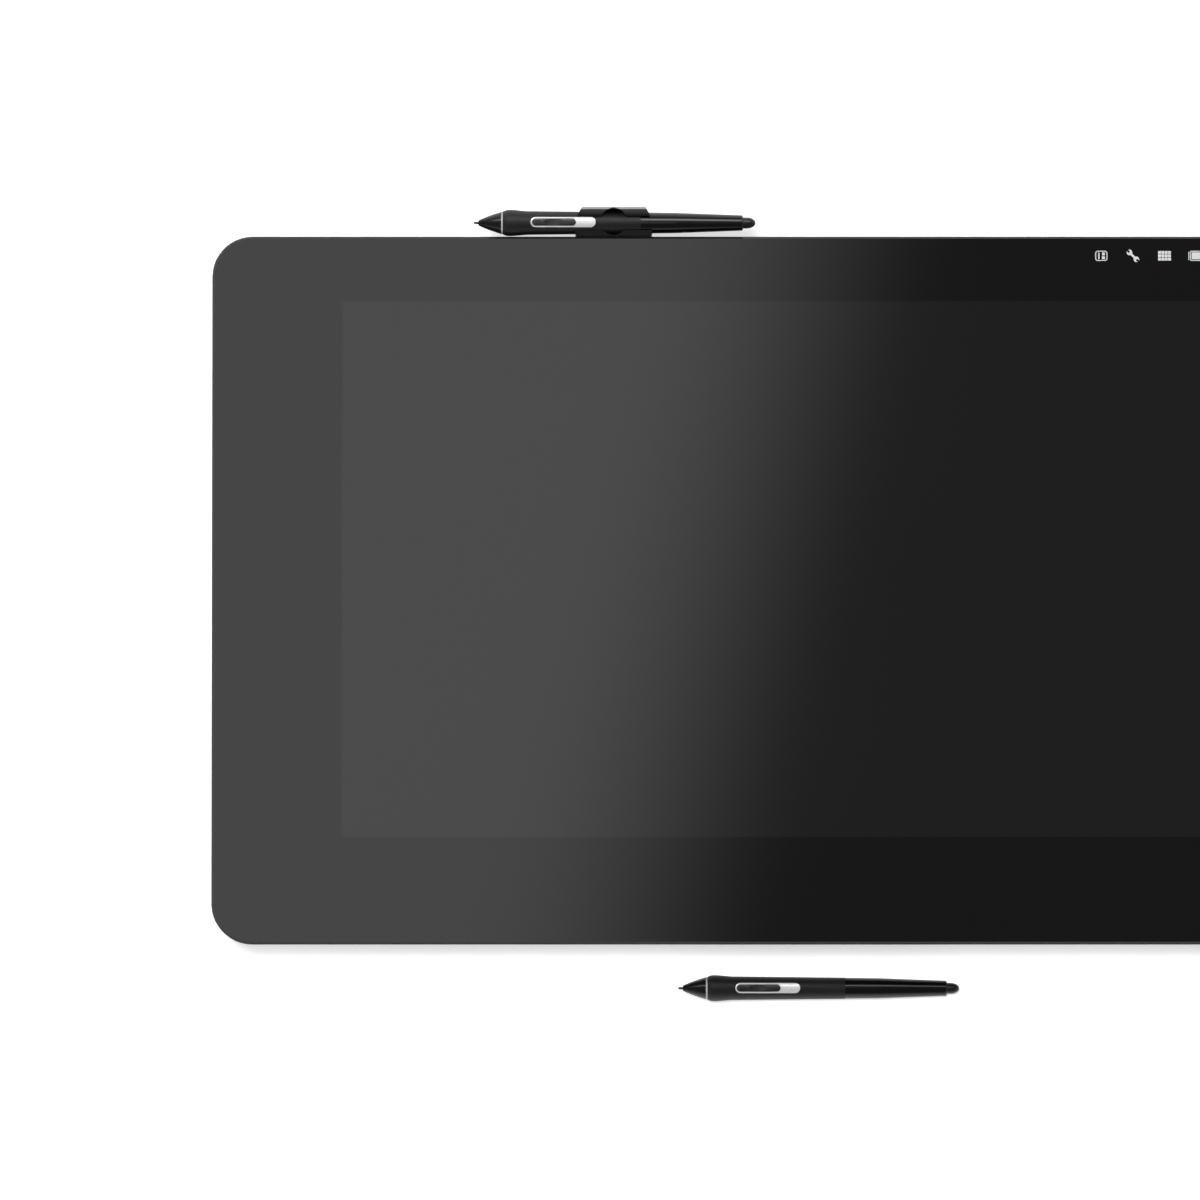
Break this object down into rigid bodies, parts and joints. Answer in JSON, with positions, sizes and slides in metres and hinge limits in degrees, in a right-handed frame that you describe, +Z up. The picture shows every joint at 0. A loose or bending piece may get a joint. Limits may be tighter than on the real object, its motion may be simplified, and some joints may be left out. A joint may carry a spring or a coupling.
{
  "type": "graphics tablet with screen",
  "caption": "Flat drawing display with an edge-to-edge glass front, slim metal frame, fold-out rear legs, an edge clip holding a pen, and a loose pen.",
  "frame": {"origin": "on the desk, under the middle of the footprint of the unit, its pen clip and the loose pen", "axes": "+X along the long edge to the right, +Y from the user to the far edge, +Z up out of the glass"},
  "size_m": [0.677, 0.4412, 0.0494],
  "materials": {
    "cover_glass": "clear glass bonded to a dark screen and printed black border",
    "icon_print": "pale printed icons lit from behind",
    "gasket_foam": "black foam tape",
    "panel_glass": "switched-off panel",
    "optical_film": "white diffusing film",
    "guide_acrylic": "clear acrylic",
    "led_bar": "light bar",
    "tray_steel": "pressed sheet",
    "circuit_board": "green solder mask",
    "shield_sheet": "thin sheet",
    "frame_metal": "black anodised, fine satin",
    "chassis_metal": "bare pressed plate",
    "housing_plastic": "fine moulded texture",
    "door_plastic": "fine moulded texture",
    "rubber": "matt rubber",
    "steel": "blackened or bright steel",
    "brass": "turned brass",
    "leg_metal": "cast and painted black",
    "socket_metal": "plated sheet with a black tongue",
    "chip_plastic": "moulded packages",
    "sink_metal": "extruded fins",
    "fan_plastic": "moulded",
    "button_plastic": "satin",
    "clip_plastic": "satin moulded black",
    "nib_plastic": "worn tip",
    "pen_cone_plastic": "satin",
    "pen_ring_plastic": "grey ring",
    "pen_grip_rubber": "soft matt skin",
    "pen_barrel_plastic": "polished black",
    "pen_bezel_silver": "bright silver paint",
    "pen_rocker_plastic": "satin black",
    "pen_eraser_plastic": "satin black",
    "pen_core_plastic": "moulded carrier"
  },
  "bodies": {
    "unit": {"touch_key_icons": "icon_print", "cover_glass": "cover_glass", "glass_gasket": "gasket_foam", "lcd_panel": "panel_glass", "optical_sheets": "optical_film", "light_guide": "guide_acrylic", "led_strip": "led_bar", "backlight_tray": "tray_steel", "pen_sensor_board": "circuit_board", "sensor_shield": "shield_sheet", "icon_light_board": "circuit_board", "side_frame": "frame_metal", "rear_housing": "housing_plastic", "chassis_plate": "chassis_metal", "service_cover": "door_plastic", "cover_screws": "steel", "housing_screws": "steel", "arm_mount_bushes": "brass", "rubber_feet": "rubber", "hinge_pins": "steel", "main_board": "circuit_board", "power_board": "circuit_board", "board_chips": "chip_plastic", "heat_sink": "sink_metal", "side_port_boards": "circuit_board", "usb_sockets": "socket_metal", "card_socket": "socket_metal", "audio_jack": "chip_plastic", "input_sockets": "socket_metal", "fan_housings": "fan_plastic", "control_board": "circuit_board"},
    "leg_left_body": {"leg_left": "leg_metal", "leg_pad_left": "rubber"},
    "leg_right_body": {"leg_right": "leg_metal", "leg_pad_right": "rubber"},
    "cable_door_body": {"cable_door": "door_plastic"},
    "fan_left_body": {"fan_rotor_left": "fan_plastic"},
    "fan_right_body": {"fan_rotor_right": "fan_plastic"},
    "power_button_body": {"power_button": "button_plastic"},
    "touch_switch_body": {"touch_switch": "button_plastic"},
    "pen_clip_body": {"pen_clip": "clip_plastic", "clip_liner": "rubber"},
    "docked_pen_body": {"docked_pen_cone": "pen_cone_plastic", "docked_pen_ring": "pen_ring_plastic", "docked_pen_grip": "pen_grip_rubber", "docked_pen_barrel": "pen_barrel_plastic", "docked_pen_bezel": "pen_bezel_silver", "docked_pen_core": "pen_core_plastic"},
    "docked_pen_nib_body": {"docked_pen_nib": "nib_plastic"},
    "docked_pen_rocker_body": {"docked_pen_rocker": "pen_rocker_plastic"},
    "docked_pen_eraser_body": {"docked_pen_eraser": "pen_eraser_plastic"},
    "loose_pen_body": {"loose_pen_cone": "pen_cone_plastic", "loose_pen_ring": "pen_ring_plastic", "loose_pen_grip": "pen_grip_rubber", "loose_pen_barrel": "pen_barrel_plastic", "loose_pen_bezel": "pen_bezel_silver", "loose_pen_core": "pen_core_plastic"},
    "loose_pen_nib_body": {"loose_pen_nib": "nib_plastic"},
    "loose_pen_rocker_body": {"loose_pen_rocker": "pen_rocker_plastic"},
    "loose_pen_eraser_body": {"loose_pen_eraser": "pen_eraser_plastic"}
  },
  "joints": [
    {"name": "leg_left_fold", "type": "hinge", "parent": "unit", "child": "leg_left_body", "pos_m": [-0.215, 0.10243, 0.0075], "axis": [1, 0, 0], "range_deg": [0, 100]},
    {"name": "leg_right_fold", "type": "hinge", "parent": "unit", "child": "leg_right_body", "pos_m": [0.215, 0.10243, 0.0075], "axis": [1, 0, 0], "range_deg": [0, 100]},
    {"name": "cable_door_fold", "type": "hinge", "parent": "unit", "child": "cable_door_body", "pos_m": [0, 0.08013, 0.0052], "axis": [-1, 0, 0], "range_deg": [0, 95]},
    {"name": "fan_left_spin", "type": "hinge", "parent": "unit", "child": "fan_left_body", "pos_m": [-0.148, 0.01243, 0.013], "axis": [0, 0, 1], "continuous": true},
    {"name": "fan_right_spin", "type": "hinge", "parent": "unit", "child": "fan_right_body", "pos_m": [0.148, 0.01243, 0.013], "axis": [0, 0, 1], "continuous": true},
    {"name": "power_button_press", "type": "slide", "parent": "unit", "child": "power_button_body", "axis": [0, -1, 0], "range_m": [0, 0.0008], "stiffness_N_per_m": 300},
    {"name": "touch_switch_slide", "type": "slide", "parent": "unit", "child": "touch_switch_body", "axis": [1, 0, 0], "range_m": [0, 0.005]},
    {"name": "pen_clip_pull", "type": "slide", "parent": "unit", "child": "pen_clip_body", "axis": [0, 1, 0], "range_m": [0, 0.03]},
    {"name": "docked_pen_slide", "type": "slide", "parent": "pen_clip_body", "child": "docked_pen_body", "axis": [-1, 0, 0], "range_m": [0, 0.105]},
    {"name": "loose_pen_lift", "type": "slide", "parent": "unit", "child": "loose_pen_body", "axis": [0, 0, 1], "range_m": [0, 0.1]},
    {"name": "docked_pen_nib_press", "type": "slide", "parent": "docked_pen_body", "child": "docked_pen_nib_body", "axis": [1, 0, 0], "range_m": [0, 0.0005], "stiffness_N_per_m": 500},
    {"name": "docked_pen_eraser_press", "type": "slide", "parent": "docked_pen_body", "child": "docked_pen_eraser_body", "axis": [-1, 0, 0], "range_m": [0, 0.0008], "stiffness_N_per_m": 500},
    {"name": "docked_pen_rocker_tilt", "type": "hinge", "parent": "docked_pen_body", "child": "docked_pen_rocker_body", "pos_m": [-0.1483, 0.21227, 0.04682], "axis": [0, 1, 0], "range_deg": [-3, 3], "stiffness_Nm_per_rad": 0.1},
    {"name": "loose_pen_nib_press", "type": "slide", "parent": "loose_pen_body", "child": "loose_pen_nib_body", "axis": [0.9998, 0, -0.0179], "range_m": [0, 0.0005], "stiffness_N_per_m": 500},
    {"name": "loose_pen_eraser_press", "type": "slide", "parent": "loose_pen_body", "child": "loose_pen_eraser_body", "axis": [-0.9998, 0, 0.0179], "range_m": [0, 0.0008], "stiffness_N_per_m": 500},
    {"name": "loose_pen_rocker_tilt", "type": "hinge", "parent": "loose_pen_body", "child": "loose_pen_rocker_body", "pos_m": [-0.03422, -0.21327, 0.01177], "axis": [0, 1, 0], "range_deg": [-3, 3], "stiffness_Nm_per_rad": 0.1}
  ]
}
